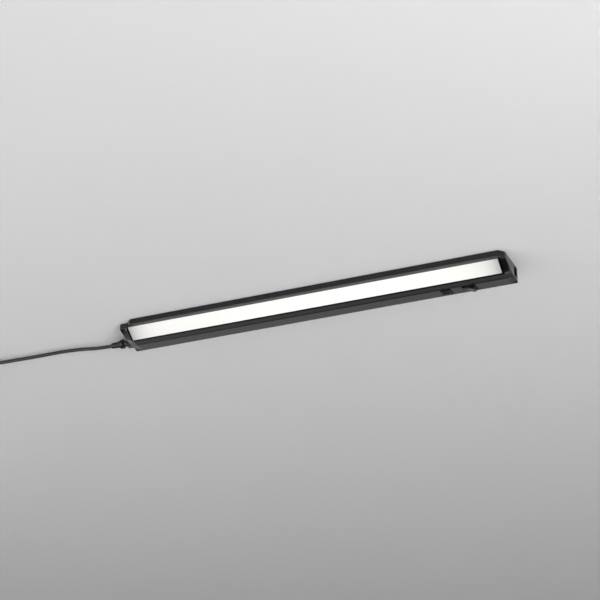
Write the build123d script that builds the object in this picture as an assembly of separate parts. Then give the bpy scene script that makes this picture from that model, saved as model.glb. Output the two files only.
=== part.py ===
from build123d import *
import os
from math import cos, pi, radians, sin, sqrt, tan

# Under-cabinet LED batten.
# Frame: +X along the batten towards its linking outlet, +Y from the light face to the back,
# +Z up. The origin is in the mounting plane, midway along the batten and midway across the
# clip channel, so the whole object hangs below z = 0.

# ---- overall sizes ----
total_length = 570.0
body_depth = 62.0
body_height = 22.0
wall = 1.6
running_gap = 0.15          # moulded pieces that slide into each other
cap_reach = 8.0             # how far each end cap covers the end of the housing

# ---- housing section ----
fascia_height = 8.0
brow_depth = 8.0
light_angle = 36.7          # slope of the light face below the horizontal, degrees
light_lift = 0.5            # lower edge of the light face above the underside
groove_width = 6.3          # dark groove between the light face and the ledge
groove_roof = 5.5           # height of the groove's roof above the underside
ledge_depth = 10.0
ledge_rise = 1.8            # front edge of the ledge above the underside
ledge_step = 0.6            # step from the ledge down to the underside
channel_width = 20.0        # clip channel in the top, inside its undercut
channel_depth = 3.0
lip_width = 1.6
lip_thickness = 1.2

# ---- light engine ----
diffuser_wall = 1.5
diffuser_side = 1.2
top_web = 1.05              # what the diffuser's upper hook leaves of the top wall
tray_thickness = 1.2
tray_end_gap = 0.2
hook_depth = 0.8
hook_reach = 1.0
lens_end_gap = 2.4          # open groove between the diffuser's end and the cap
led_board_width = 14.0
led_board_start = 4.0
led_board_thickness = 1.2
led_count = 48
led_size = (2.8, 3.5, 0.8)
led_end_margin = 7.0

# ---- driver ----
board_width = 24.0
board_thickness = 1.6
board_length = 170.0
board_from_left = 50.0      # from the batten's left end to the board
board_drop = 1.0            # gap between the channel floor and the board
board_rail = 1.5
rail_thickness = 1.2
part_headroom = 0.6         # clearance under the tallest component
fuse_diameter = 5.2
fuse_length = 20.0
capacitor_diameter = 9.0
capacitor_length = 15.0
choke_diameter = 9.0
choke_height = 8.5
transformer_size = (20.0, 17.0)
terminal_size = (11.0, 9.0, 5.6)
wire_diameter = 2.4
lead_diameter = 1.3
lead_pitch = 5.0

# ---- sockets and lead connector ----
socket_width = 11.0
socket_height = 14.0
socket_from_back = 9.0      # socket centre in front of the back face
socket_from_top = 9.8
socket_wall = 1.2
insert_depth = 15.0
outlet_recess = 12.0
inlet_recess = 20.0
pin_diameter = 2.3
pin_pitch = 5.0
pin_length = 9.0
nose_clearance = 0.3
collar_length = 11.0
collar_size = (14.0, 13.0)
neck_length = 5.5
neck_radius = 4.2
boot_flange_length = 4.5
boot_flange_radius = 6.9
boot_length = 19.5
boot_root_radius = 5.2
boot_tip_radius = 4.0
boot_ribs = 4

# ---- end caps ----
cap_round = 10.5            # how far the cap's front rim is set back
spigot_length = 12.0
left_plate_reach = 11.5
corner_size = 10.0          # chamfer of the front corner at the inlet end
rim_lift = 0.3
screw_diameter = 2.9
screw_head_diameter = 5.4
screw_head_height = 1.6
brow_screw_length = 5.8
rear_screw_length = 9.0

# ---- switches, in the underside near the outlet end ----
switch_from_back = 9.7      # centre line in front of the back face
rocker_from_end = 63.8
selector_from_end = 96.4
moat = 0.9                  # open gap round each switch
switch_cutout_depth = 15.0
rocker_cutout_length = 20.0
selector_cutout_length = 15.0
switch_proud = 1.5
switch_flange = 2.6
switch_flange_thickness = 1.1
switch_depth = 12.6
rocker_well = (16.2, 10.4)
rocker_well_depth = 7.5
rocker_swing = 22.0
rocker_pivot_depth = 1.5
rocker_pin_diameter = 2.0
pin_clearance = 0.05
paddle_side_gap = 0.1
selector_slot = (10.0, 9.4)
selector_face = 1.5
selector_cavity = (12.0, 12.0)
selector_cavity_depth = 3.4
selector_base = (11.4, 6.2, 2.0)
knob_size = (9.6, 4.6)
knob_proud = 0.8
knob_travel = 4.4
slide_gap = 0.1
blade_size = (0.8, 4.8, 5.0)

# ---- mounting clips ----
clip_spacing = 400.0
clip_length = 24.0
clip_thickness = 1.0
clip_hole_diameter = 4.2

# ---- mains lead ----
cord_diameter = 5.2
fold_radius = 16.0          # inner turns of the hank, at the cord's centre
hank_run = 102.0
hank_gap = 228.0            # from the strain relief's tip to the middle of the hank's near fold
hank_top = -2.6
hank_layers = 2
strap_width = 20.0
strap_thickness = 0.8
base_size = (30.0, 24.0, 2.5)
plug_size = (35.0, 35.0, 13.7)
plug_tip_width = 18.0
plug_boot_length = 25.0
plug_pin_diameter = 4.0
plug_pin_length = 19.0
plug_pin_pitch = 19.0

# ---- places that follow from the sizes above ----
half_length = total_length / 2
body_end = half_length - cap_reach
front_y = -body_depth / 2
back_y = body_depth / 2
underside_z = -body_height
slope_cos = cos(radians(light_angle))
slope_sin = sin(radians(light_angle))
lens_top_y = front_y + brow_depth
lens_top_z = -fascia_height
light_width = (body_height - light_lift - fascia_height) / slope_sin
hook_back = (fascia_height - top_web) / slope_cos
tray_back = hook_back - hook_depth - running_gap
engine_depth = tray_back - tray_thickness   # from the light face to the front of the tray
lens_end = body_end - lens_end_gap
ledge_start_y = lens_top_y + light_width * slope_cos + groove_width
ledge_end_y = ledge_start_y + ledge_depth
roof_z = underside_z + groove_roof
inner_back_y = back_y - wall
floor_z = underside_z + wall
channel_half = channel_width / 2
channel_floor_z = -channel_depth - wall
board_top_z = channel_floor_z - board_drop
board_bottom_z = board_top_z - board_thickness
board_back_y = inner_back_y - running_gap
board_front_y = board_back_y - board_width
component_room = board_bottom_z - floor_z - part_headroom
board_start = -half_length + board_from_left
board_end = board_start + board_length
socket_y = back_y - socket_from_back
socket_z = -socket_from_top
switch_y = back_y - switch_from_back
rocker_x = half_length - rocker_from_end
selector_x = half_length - selector_from_end
switch_face_z = underside_z - switch_proud
connector_face = -body_end - left_plate_reach
boot_tip_x = connector_face - collar_length - neck_length - boot_length
lead_z = socket_z - 0.6
outer_fold = fold_radius + cord_diameter
hank_outline = outer_fold + cord_diameter / 2
hank_high_z = hank_top - cord_diameter / 2
hank_low_z = hank_high_z - cord_diameter
hank_centre = (boot_tip_x - hank_gap - hank_run / 2, socket_y - 2.2 - outer_fold)
hank_face = boot_tip_x - hank_gap + sqrt(hank_outline**2 - (outer_fold - cord_diameter / 2) ** 2)


def bar(x, y, z):
    """A box between two corners, each given as a (low, high) pair."""
    centre = ((x[0] + x[1]) / 2, (y[0] + y[1]) / 2, (z[0] + z[1]) / 2)
    return Pos(*centre) * Box(x[1] - x[0], y[1] - y[0], z[1] - z[0])


def prism(points, start, end):
    """An outline of (y, z) points, drawn out along X."""
    outline = make_face(Plane.YZ.offset(start) * Polyline(*points, close=True))
    return extrude(outline, amount=end - start, dir=(1, 0, 0))


def slope(along, deep):
    """The (y, z) point so far down the light face and so deep behind it."""
    y = lens_top_y + along * slope_cos + deep * slope_sin
    z = lens_top_z - along * slope_sin + deep * slope_cos
    return (y, z)


def slab(along, deep, start, end):
    """A block square to the light face."""
    corners = [(along[0], deep[0]), (along[1], deep[0]), (along[1], deep[1]), (along[0], deep[1])]
    return prism([slope(*corner) for corner in corners], start, end)


def rod(start, direction, radius, length):
    """A round bar from a point along a direction."""
    return extrude(Plane(start, z_dir=direction) * Circle(radius), amount=length)


def save(name, *shapes):
    """Writes one node, of one solid or of a group of separate solids."""
    shape = shapes[0] if len(shapes) == 1 else Compound(children=list(shapes))
    export_step(shape, "parts/" + name + ".step")


def outer_outline():
    """The batten's full section, as the caps close it."""
    return [
        (front_y, 0),
        (front_y, -fascia_height),
        (lens_top_y, lens_top_z),
        slope(light_width, 0),
        (ledge_start_y, underside_z + ledge_rise),
        (ledge_end_y, underside_z + ledge_step),
        (ledge_end_y, underside_z),
        (back_y - 5, underside_z),
        (back_y, underside_z),
        (back_y, 0),
    ]


def rim_outline():
    """The smaller section at the caps' outer rim, point for point with the full one."""
    rim_front = front_y + cap_round
    return [
        (rim_front, 0),
        (rim_front, -fascia_height - 0.6),
        (lens_top_y + 8.5, lens_top_z - 3.2),
        (lens_top_y + 22.5, underside_z + 5.6),
        (ledge_start_y + 6.0, underside_z + 4.3),
        (ledge_end_y + 3.0, underside_z + 3.5),
        (ledge_end_y + 5.0, underside_z + 3.2),
        (back_y - 5, underside_z + 2.0),
        (back_y, underside_z + rim_lift),
        (back_y, 0),
    ]


def between(first, second, share):
    """An outline part of the way from one outline to another."""
    return [
        (a[0] + (b[0] - a[0]) * share, a[1] + (b[1] - a[1]) * share)
        for a, b in zip(first, second)
    ]


# ---- housing ----
def housing():
    low, high = -body_end, body_end
    length = (low, high)
    channel_outer = channel_half + wall
    shell = bar(length, (front_y, front_y + wall), (-fascia_height, 0))
    brow_end = lens_top_y - running_gap
    shell += bar(length, (front_y, brow_end), (-fascia_height, -fascia_height + wall))
    shell += bar(length, (front_y, -channel_half), (-wall, 0))
    shell += bar(length, (channel_half, back_y), (-wall, 0))
    shell += bar(length, (inner_back_y, back_y), (underside_z, 0))
    channel = bar(length, (-channel_outer, channel_outer), (channel_floor_z, 0))
    channel -= bar(length, (-channel_half, channel_half), (-channel_depth, -lip_thickness))
    mouth = channel_half - lip_width
    channel -= bar(length, (-mouth, mouth), (-channel_depth, 1))
    shell += channel
    underside = [
        (ledge_start_y, underside_z + ledge_rise),
        (ledge_end_y, underside_z + ledge_step),
        (ledge_end_y, underside_z),
        (back_y, underside_z),
        (back_y, floor_z),
        (ledge_end_y + wall, floor_z),
        (ledge_end_y, floor_z + ledge_step),
        (ledge_start_y, floor_z + ledge_rise),
    ]
    shell += prism(underside, low, high)
    groove_wall = (ledge_start_y, ledge_start_y + wall)
    shell += bar(length, groove_wall, (underside_z + ledge_rise, roof_z + wall))
    roof_start = slope(light_width, engine_depth / 2)[0]
    shell += bar(length, (roof_start, ledge_start_y + wall), (roof_z, roof_z + wall))
    # Two ribs carry the back of the tray.
    rib_y = lens_top_y + brow_depth
    shell += bar(length, (rib_y - wall, rib_y), (-fascia_height, -wall))
    shell += bar(length, (-channel_outer, -channel_half), (-fascia_height * 1.6, -channel_depth))
    across = (-running_gap, light_width + running_gap)
    shell -= slab(across, (-9.0, tray_back), low - 1, high + 1)
    hook_room = hook_reach + diffuser_side + 0.2
    hook_deep = (tray_back - 1, tray_back + hook_depth + running_gap)
    shell -= slab((-0.2, hook_room), hook_deep, low - 1, high + 1)
    shell -= slab((light_width - hook_room, light_width + running_gap), hook_deep, low - 1, high + 1)
    shell += bar(length, (front_y, front_y + wall), (-fascia_height, 0))
    shell += bar(length, (front_y, brow_end), (-fascia_height, -fascia_height + wall))
    # Rails for the driver board, on the back wall and on a leg under the channel.
    rail_low = (board_bottom_z - running_gap - rail_thickness, board_bottom_z - running_gap)
    rail_high = (board_top_z + running_gap, channel_floor_z)
    leg_y = board_front_y - running_gap
    leg_bottom = rail_low[0]
    shell += bar(length, (leg_y - rail_thickness, leg_y), (leg_bottom, channel_floor_z))
    shell += bar(length, (leg_y, leg_y + board_rail), rail_low)
    shell += bar(length, (leg_y, leg_y + board_rail), rail_high)
    shell += bar(length, (inner_back_y - board_rail, inner_back_y), rail_low)
    shell += bar(length, (inner_back_y - board_rail, inner_back_y), rail_high)
    # Room for the socket inserts at both ends, and for the caps' rear bosses.
    reach = insert_depth + 1.0
    rail_space = ((leg_y - rail_thickness - 1, inner_back_y), (leg_bottom - 0.1, channel_floor_z))
    for end in ((low - 1, low + reach), (high - reach, high + 1)):
        shell -= bar(end, *rail_space)
    # The brow's left corner is cut back, and the left cap's corner piece takes its place.
    shell -= corner_cut()
    shell -= bar((low - 1, low + corner_size), (front_y - 1, lens_top_y), (-fascia_height - 1, -wall))
    # Switch cut-outs in the underside.
    cut_y = (switch_y - switch_cutout_depth / 2, switch_y + switch_cutout_depth / 2)
    for x, size in ((rocker_x, rocker_cutout_length), (selector_x, selector_cutout_length)):
        shell -= bar((x - size / 2, x + size / 2), cut_y, (underside_z - 1, floor_z + 1))
    # A way for the leads from the driver to the tray.
    for x in lead_places():
        shell -= rod((x, leg_y, lead_height()), (0, -1, 0), lead_diameter / 2 + 0.3, leg_y - lens_top_y)
    for place, top, length in cap_screws():
        shell -= rod((*place, top + 1), (0, 0, -1), screw_diameter / 2 + 0.2, wall + channel_depth)
        if top == 0.0:
            shell -= countersunk_head(place)
    return shell


def corner_cut():
    """Plan chamfer of the front corner at the inlet end."""
    low = -body_end
    reach = corner_size + 1
    points = [(low - 20, front_y - 1), (low + reach, front_y - 1), (low + reach - 21, front_y + 20)]
    return extrude(make_face(Polyline(*points, close=True)), amount=body_height + 2, both=True)


def cap_screws():
    """Each end cap screw: its (x, y), the height of its seat, and its length."""
    brow = (body_end - 7.0, lens_top_y - 1.5)
    rear = (body_end - 7.0, channel_half / 2)
    found = []
    for side in (-1, 1):
        found.append(((side * brow[0], brow[1]), 0.0, brow_screw_length))
        found.append(((side * rear[0], rear[1]), -channel_depth + screw_head_height, rear_screw_length))
    return found


# ---- end caps ----
def spigot():
    """What reaches into the housing behind one cap, drawn for the +X end."""
    inner = body_end - spigot_length
    gap = running_gap
    face = body_end + 0.5
    brow_top = -wall - gap
    brow_low = -fascia_height + wall + gap
    brow_back = lens_top_y + brow_depth - wall - gap
    brow = bar((inner, face), (front_y + wall + gap, brow_back), (brow_low, brow_top))
    brow -= slab((-gap - 0.3, light_width), (-9.0, tray_back + hook_depth + 0.4), inner - 1, face + 1)
    rear_y = (-channel_half + 3.0, board_front_y + 4.0)
    rear = bar((inner, face), rear_y, (channel_floor_z - gap - 8.0, channel_floor_z - gap))
    rear -= slab((-9.0, light_width + 9.0), (-19.0, tray_back + hook_depth + 0.3), inner - 1, face + 1)
    pad = slab((2.0, light_width - 2.0), (engine_depth - 1.8, engine_depth), lens_end + 0.2, face)
    return brow + rear + pad


def screw_holes(side):
    """The pilot holes that the cap screws cut their thread in."""
    holes = [
        rod((place[0], place[1], 1.0), (0, 0, -1), screw_diameter / 2, -top + length + 1.2)
        for place, top, length in cap_screws()
        if place[0] * side > 0
    ]
    return holes


def right_cap():
    full = outer_outline()
    rim = rim_outline()
    shares = ((0.0, body_end), (0.06, body_end + 1.2), (0.62, half_length - 1.1), (1.0, half_length))
    sections = [
        make_face(Plane.YZ.offset(x) * Polyline(*between(full, rim, share), close=True))
        for share, x in shares
    ]
    cap = loft(sections, ruled=True) + spigot()
    window_y = (socket_y - socket_width / 2, socket_y + socket_width / 2)
    window_z = (socket_z - socket_height / 2, socket_z + socket_height / 2)
    cap -= bar((body_end - 20, half_length + 1), window_y, window_z)
    for hole in screw_holes(1):
        cap -= hole
    return cap


def left_cap():
    full = outer_outline()
    meeting_y = front_y + corner_size
    meeting = [(meeting_y, 0), (meeting_y, -fascia_height), slope(3.9, 0)] + full[3:]
    sections = [
        make_face(Plane.YZ.offset(-body_end) * Polyline(*meeting, close=True)),
        make_face(Plane.YZ.offset(connector_face) * Polyline(*rim_outline(), close=True)),
    ]
    inside = mirror(spigot(), Plane.YZ) - corner_cut()
    cap = loft(sections, ruled=True) + inside + corner_piece()
    window_y = (socket_y - socket_width / 2, socket_y + socket_width / 2)
    window_z = (socket_z - socket_height / 2, socket_z + socket_height / 2)
    cap -= bar((-body_end - 60, -body_end + 20), window_y, window_z)
    for hole in screw_holes(-1):
        cap -= hole
    return cap


def corner_piece():
    """The left cap's chamfered corner, under the top wall and in front of the diffuser."""
    low = -body_end
    height = (-fascia_height, -wall - running_gap)
    piece = bar((low, low + corner_size - running_gap), (front_y, lens_top_y - running_gap), height)
    piece += bar((low - 1, low + lens_end_gap - running_gap), (front_y, front_y + corner_size + 2), height)
    return piece - corner_cut()


def countersunk_head(place):
    """A head that lies flush with the mounting plane."""
    cone = Cone(screw_diameter / 2, screw_head_diameter / 2, screw_head_height)
    return Pos(*place, -screw_head_height / 2) * cone


def end_cap_screws():
    screws = []
    for place, top, length in cap_screws():
        shank = rod((*place, top), (0, 0, -1), screw_diameter / 2, length)
        if top == 0.0:
            head = countersunk_head(place)
        else:
            head = rod((*place, top), (0, 0, -1), screw_head_diameter / 2, screw_head_height)
        slot = bar(
            (place[0] - screw_head_diameter, place[0] + screw_head_diameter),
            (place[1] - 0.3, place[1] + 0.3),
            (top - 0.6, top + 1),
        )
        screws.append(shank + head - slot)
    return screws


# ---- light engine ----
def diffuser():
    depth = (0.0, tray_back + hook_depth)
    cover = slab((0.0, light_width), depth, -lens_end, lens_end)
    inner_end = lens_end - diffuser_side
    inner = (diffuser_side, light_width - diffuser_side)
    cover -= slab(inner, (diffuser_wall, tray_back), -inner_end, inner_end)
    mouth = (diffuser_side + hook_reach, light_width - diffuser_side - hook_reach)
    cover -= slab(mouth, (diffuser_wall, tray_back + 5), -lens_end - 1, lens_end + 1)
    # The end walls stop at the tray, which runs on past them.
    tray_slot = (engine_depth, tray_back)
    cover -= slab(inner, tray_slot, -lens_end - 1, lens_end + 1)
    # Closed ends in front of the tray.
    for side in (-1, 1):
        ends = sorted((side * inner_end, side * lens_end))
        cover += slab((0.0, light_width), (0.0, engine_depth), *ends)
    return cover


def light_tray():
    inset = diffuser_side + 0.1
    end = body_end - tray_end_gap
    tray = slab((inset, light_width - inset), (engine_depth, tray_back), -end, end)
    for x in lead_places():
        start = (x, *slope(lead_along(), engine_depth - 1))
        tray -= rod(start, (0, slope_sin, slope_cos), lead_diameter, tray_thickness + 2)
    return tray


def led_board():
    along = (led_board_start, led_board_start + led_board_width)
    end = lens_end - diffuser_side - 1.0
    return slab(along, (engine_depth - led_board_thickness, engine_depth), -end, end)


def leds():
    """One row of packages down the middle of the board."""
    middle = led_board_start + led_board_width / 2
    along = (middle - led_size[1] / 2, middle + led_size[1] / 2)
    face = engine_depth - led_board_thickness
    first = -(lens_end - diffuser_side - 1.0 - led_end_margin)
    pitch = -2 * first / (led_count - 1)
    packages = []
    for number in range(led_count):
        x = first + number * pitch
        packages.append(slab(along, (face - led_size[2], face), x - led_size[0] / 2, x + led_size[0] / 2))
    return packages


# ---- driver ----
def lead_places():
    x = board_end - terminal_size[0] / 2 - 1.0
    return (x - lead_pitch / 2, x + lead_pitch / 2)


def lead_along():
    """How far down the light face the leads reach the LED board."""
    return led_board_start + led_board_width - 1.5


def lead_height():
    return board_bottom_z - 2.6


def driver_board():
    return bar((board_start, board_end), (board_front_y, board_back_y), (board_bottom_z, board_top_z))


def terminal(x):
    """A screw terminal block under the board, its wire ways towards the light face."""
    size = terminal_size
    y = board_front_y + 5.0
    bottom = board_bottom_z - size[2]
    block = bar((x - size[0] / 2, x + size[0] / 2), (y, y + size[1]), (bottom, board_bottom_z))
    for side in (-1, 1):
        way = rod((x + side * lead_pitch / 2, y - 1, lead_height()), (0, 1, 0), lead_diameter / 2, 5.0)
        block -= way
        block -= rod((x + side * lead_pitch / 2, y + size[1] / 2, bottom - 1), (0, 0, 1), 1.6, 2.5)
    return block


def led_leads():
    """Two insulated leads from the output terminal through the tray to the LED board."""
    leads = []
    start_y = board_front_y + 9.0
    height = lead_height()
    along = lead_along()
    for x in lead_places():
        corner_y = lens_top_y + (along + (height - lens_top_z) * slope_sin) / slope_cos
        end = slope(along, engine_depth)
        route = FilletPolyline((x, start_y, height), (x, corner_y, height), (x, *end), radius=1.6)
        profile = Plane((x, start_y, height), z_dir=(0, -1, 0)) * Circle(lead_diameter / 2)
        leads.append(sweep(profile, path=route))
    return leads


def fuse():
    y = board_back_y - 6.0
    x = board_start + 24.0
    z = board_bottom_z - fuse_diameter / 2 - 0.3
    body = rod((x, y, z), (1, 0, 0), fuse_diameter / 2, fuse_length)
    for end in (x, x + fuse_length - 5.0):
        body += rod((end, y, z), (1, 0, 0), fuse_diameter / 2 + 0.3, 5.0)
    return body


def film_capacitor():
    x = board_start + 24.0
    y = board_front_y + 6.0
    block = bar((x, x + 13.0), (y, y + 6.0), (board_bottom_z - 9.5, board_bottom_z))
    return fillet(block.edges().filter_by(Axis.Z), 0.8)


def choke():
    """A drum core on its end, with the winding between its flanges."""
    x = board_start + 58.0
    y = board_back_y - 11.0
    drum = rod((x, y, board_bottom_z), (0, 0, -1), choke_diameter / 2, choke_height)
    ring = rod((x, y, board_bottom_z - 1.5), (0, 0, -1), choke_diameter, choke_height - 3.0)
    ring -= rod((x, y, board_bottom_z - 1.5), (0, 0, -1), choke_diameter / 2 - 0.6, choke_height - 3.0)
    return drum - ring


def transformer():
    """A ferrite core round a wound bobbin, as two pieces."""
    x = board_start + 76.0
    y = board_front_y + 5.5
    top = board_bottom_z
    low = board_bottom_z - component_room
    size = transformer_size
    core = bar((x, x + size[0]), (y + 3.0, y + size[1] - 3.0), (low, top))
    window = ((x + 4.0, x + size[0] - 4.0), (y - 1, y + size[1] + 1), (low + 3.0, top - 3.0))
    core -= bar(*window)
    winding = bar(
        (x + 4.1, x + size[0] - 4.1), (y, y + size[1]), (low + 3.1, top - 3.1)
    )
    winding = fillet(winding.edges().filter_by(Axis.X), 1.2)
    return core, winding


def electrolytic_capacitors():
    """Two cans lying along the board."""
    cans = []
    z = board_bottom_z - capacitor_diameter / 2 - 0.05
    for number in range(2):
        x = board_start + 104.0 + number * (capacitor_length + 3.0)
        y = board_back_y - 7.0
        can = rod((x, y, z), (1, 0, 0), capacitor_diameter / 2, capacitor_length)
        cans.append(chamfer(can.edges().filter_by(GeomType.CIRCLE), 0.5))
    return cans


def through_wires():
    """Two insulated wires that carry the supply from the inlet to the outlet."""
    radius = wire_diameter / 2
    y = ledge_start_y + wall + radius + 0.05
    reach = body_end - spigot_length - 1.0
    first = floor_z + ledge_rise + radius + 0.1
    return [
        rod((-reach, y, first + number * (wire_diameter + 0.05)), (1, 0, 0), radius, 2 * reach)
        for number in range(2)
    ]


# ---- sockets ----
def socket_block():
    """The insert behind the outlet, drawn for the +X end."""
    y = (socket_y - socket_width / 2 - socket_wall, inner_back_y - running_gap)
    z = (floor_z + running_gap, -wall - running_gap)
    return bar((body_end - insert_depth, body_end - 0.0), y, z)


def socket_cavity(depth, clearance=0.0):
    y = (socket_y - socket_width / 2 + clearance, socket_y + socket_width / 2 - clearance)
    z = (socket_z - socket_height / 2 + clearance, socket_z + socket_height / 2 - clearance)
    return bar((half_length - depth, half_length + 1), y, z)


def pin_heights():
    return (socket_z - pin_pitch / 2, socket_z + pin_pitch / 2)


def outlet_socket():
    block = socket_block() - socket_cavity(outlet_recess)
    for z in pin_heights():
        start = (body_end - insert_depth - 1, socket_y, z)
        block -= rod(start, (1, 0, 0), pin_diameter / 2 + 0.1, insert_depth)
    return block


def outlet_contacts():
    """Spring sleeves in the outlet's two ways."""
    sleeves = []
    for z in pin_heights():
        sleeve = rod((body_end - insert_depth, socket_y, z), (1, 0, 0), pin_diameter / 2 + 0.1, 9.5)
        sleeve -= rod((body_end - insert_depth + 1, socket_y, z), (1, 0, 0), pin_diameter / 2 - 0.4, 10.0)
        sleeves.append(sleeve)
    return sleeves


def inlet_socket():
    block = socket_block() - socket_cavity(inlet_recess)
    for z in pin_heights():
        block -= rod((body_end - insert_depth - 1, socket_y, z), (1, 0, 0), pin_diameter / 2, insert_depth)
    return mirror(block, Plane.YZ)


def inlet_pins():
    start = body_end - insert_depth
    back_wall = half_length - inlet_recess - start
    return [
        rod((-start, socket_y, z), (-1, 0, 0), pin_diameter / 2, back_wall + pin_length)
        for z in pin_heights()
    ]


# ---- switches ----
def switch_housing(x, cutout_length):
    """The body of a switch, from its face up to its base, with its inner flange."""
    half = cutout_length / 2 - moat
    half_y = switch_cutout_depth / 2 - moat
    y = (switch_y - half_y, switch_y + half_y)
    body = bar((x - half, x + half), y, (switch_face_z, switch_face_z + switch_depth))
    flange_y = (switch_y - half_y - moat, min(switch_y + half_y + moat, inner_back_y - running_gap))
    body += bar(
        (x - half - switch_flange, x + half + switch_flange),
        flange_y,
        (floor_z, floor_z + switch_flange_thickness),
    )
    return body


def rocker_pivot():
    return (rocker_x, switch_face_z + rocker_pivot_depth)


def rocker_body():
    body = switch_housing(rocker_x, rocker_cutout_length)
    x, pivot_z = rocker_pivot()
    half = rocker_well[0] / 2
    well_y = (switch_y - rocker_well[1] / 2, switch_y + rocker_well[1] / 2)
    body -= bar((x - half, x + half), well_y, (switch_face_z - 1, switch_face_z + rocker_well_depth))
    hole = rocker_pin_diameter / 2 + pin_clearance
    body -= rod((x, well_y[0] - 1.2, pivot_z), (0, 1, 0), hole, rocker_well[1] + 2.4)
    return body


def rocker_paddle():
    """The paddle as it rests: the end nearer the outlet stands proud."""
    x, pivot_z = rocker_pivot()
    end_radius = rocker_well[0] / 2 - 0.2
    proud = rocker_pivot_depth + 1.6
    hollow = rocker_pivot_depth + 0.5
    profile = [
        (-end_radius, -proud), (0, -hollow), (end_radius, -proud),
        (end_radius, 1.2), (3.2, 4.0), (-3.2, 4.0), (-end_radius, 1.2),
    ]
    start_y = switch_y - rocker_well[1] / 2 + paddle_side_gap
    width = rocker_well[1] - 2 * paddle_side_gap
    plane = Plane((0, start_y, 0), x_dir=(1, 0, 0), z_dir=(0, 1, 0))
    outline = make_face(Polyline(*[plane.from_local_coords((a, -b)) for a, b in profile], close=True))
    block = extrude(outline, amount=width, dir=(0, 1, 0))
    block &= rod((0, start_y, 0), (0, 1, 0), end_radius, width)
    pin_reach = 1.0
    block += rod((0, start_y - pin_reach, 0), (0, 1, 0), rocker_pin_diameter / 2, width + 2 * pin_reach)
    block = block.rotate(Axis.Y, rocker_swing / 2)
    return Pos(x, 0, pivot_z) * block


def blades(x, count, spacing):
    """Terminal blades on the base of a switch."""
    base = switch_face_z + switch_depth
    thick, wide, tall = blade_size
    found = []
    for number in range(count):
        place = x + (number - (count - 1) / 2) * spacing
        across = (place - thick / 2, place + thick / 2)
        found.append(bar(across, (switch_y - wide / 2, switch_y + wide / 2), (base, base + tall)))
    return found


def selector_body():
    body = switch_housing(selector_x, selector_cutout_length)
    slot = selector_slot
    ceiling = switch_face_z + selector_face
    body -= bar(
        (selector_x - slot[0] / 2, selector_x + slot[0] / 2),
        (switch_y - slot[1] / 2, switch_y + slot[1] / 2),
        (switch_face_z - 1, ceiling + 1),
    )
    cavity = selector_cavity
    body -= bar(
        (selector_x - cavity[0] / 2, selector_x + cavity[0] / 2),
        (switch_y - cavity[1] / 2, switch_y + cavity[1] / 2),
        (ceiling, switch_face_z + switch_depth + 1),
    )
    return body


def selector_base_plate():
    """Closes the selector's body behind the slider."""
    cavity = selector_cavity
    low = switch_face_z + selector_face + selector_cavity_depth
    gap = running_gap
    return bar(
        (selector_x - cavity[0] / 2 + gap, selector_x + cavity[0] / 2 - gap),
        (switch_y - cavity[1] / 2 + gap, switch_y + cavity[1] / 2 - gap),
        (low, switch_face_z + switch_depth),
    )


def selector_slider():
    """The knob and its base, resting at the back of the slot."""
    y = switch_y + knob_travel / 2
    low = switch_face_z + selector_face + slide_gap
    base = selector_base
    slider = bar(
        (selector_x - base[0] / 2, selector_x + base[0] / 2),
        (y - base[1] / 2, y + base[1] / 2),
        (low, low + base[2]),
    )
    knob = bar(
        (selector_x - knob_size[0] / 2, selector_x + knob_size[0] / 2),
        (y - knob_size[1] / 2, y + knob_size[1] / 2),
        (switch_face_z - knob_proud, low + 0.5),
    )
    return slider + knob


# ---- mounting clips ----
def mounting_clips():
    """Sheet hats that hold the batten by the lips of its channel."""
    clips = []
    mouth = channel_half - lip_width - running_gap
    foot = channel_half - running_gap
    thick = clip_thickness
    foot_top = -lip_thickness
    for side in (-1, 1):
        x = (side * clip_spacing / 2 - clip_length / 2, side * clip_spacing / 2 + clip_length / 2)
        clip = bar(x, (-mouth, mouth), (-thick, 0))
        for hand in (-1, 1):
            clip += bar(x, tuple(sorted((hand * mouth, hand * (mouth - thick)))), (foot_top - thick, 0))
            clip += bar(x, tuple(sorted((hand * foot, hand * (mouth - thick)))), (foot_top - thick, foot_top))
        clip -= rod((side * clip_spacing / 2, 0, 1), (0, 0, -1), clip_hole_diameter / 2, 4)
        clips.append(clip)
    return clips


# ---- lead connector, strain relief and mains lead ----
def lead_connector():
    """The nose in the inlet, the collar outside the cap and the neck behind it."""
    nose_tip = -half_length + inlet_recess - 1.0
    clear = nose_clearance
    y = (socket_y - socket_width / 2 + clear, socket_y + socket_width / 2 - clear)
    z = (socket_z - socket_height / 2 + clear, socket_z + socket_height / 2 - clear)
    nose = bar((connector_face - 1, nose_tip), y, z)
    for height in pin_heights():
        nose -= rod((nose_tip + 1, socket_y, height), (-1, 0, 0), pin_diameter / 2 + 0.6, pin_length + 2)
    far = connector_face - collar_length
    collar = bar(
        (far, connector_face),
        (socket_y - collar_size[0] / 2, socket_y + collar_size[0] / 2),
        (lead_z - collar_size[1] / 2, lead_z + collar_size[1] / 2),
    )
    collar = fillet(collar.edges().filter_by(Axis.X), 3.0)
    collar = fillet(collar.faces().sort_by(Axis.X)[0].edges(), 1.8)
    neck = rod((far + 1, socket_y, lead_z), (-1, 0, 0), neck_radius, neck_length + 1)
    return nose + collar + neck


def connector_contacts():
    """Sleeves in the nose that grip the inlet's pins."""
    nose_tip = -half_length + inlet_recess - 1.0
    sleeves = []
    for height in pin_heights():
        sleeve = rod((nose_tip - 0.5, socket_y, height), (-1, 0, 0), pin_diameter / 2 + 0.6, pin_length)
        sleeve -= rod((nose_tip, socket_y, height), (-1, 0, 0), pin_diameter / 2 + 0.05, pin_length)
        sleeves.append(sleeve)
    return sleeves


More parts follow.
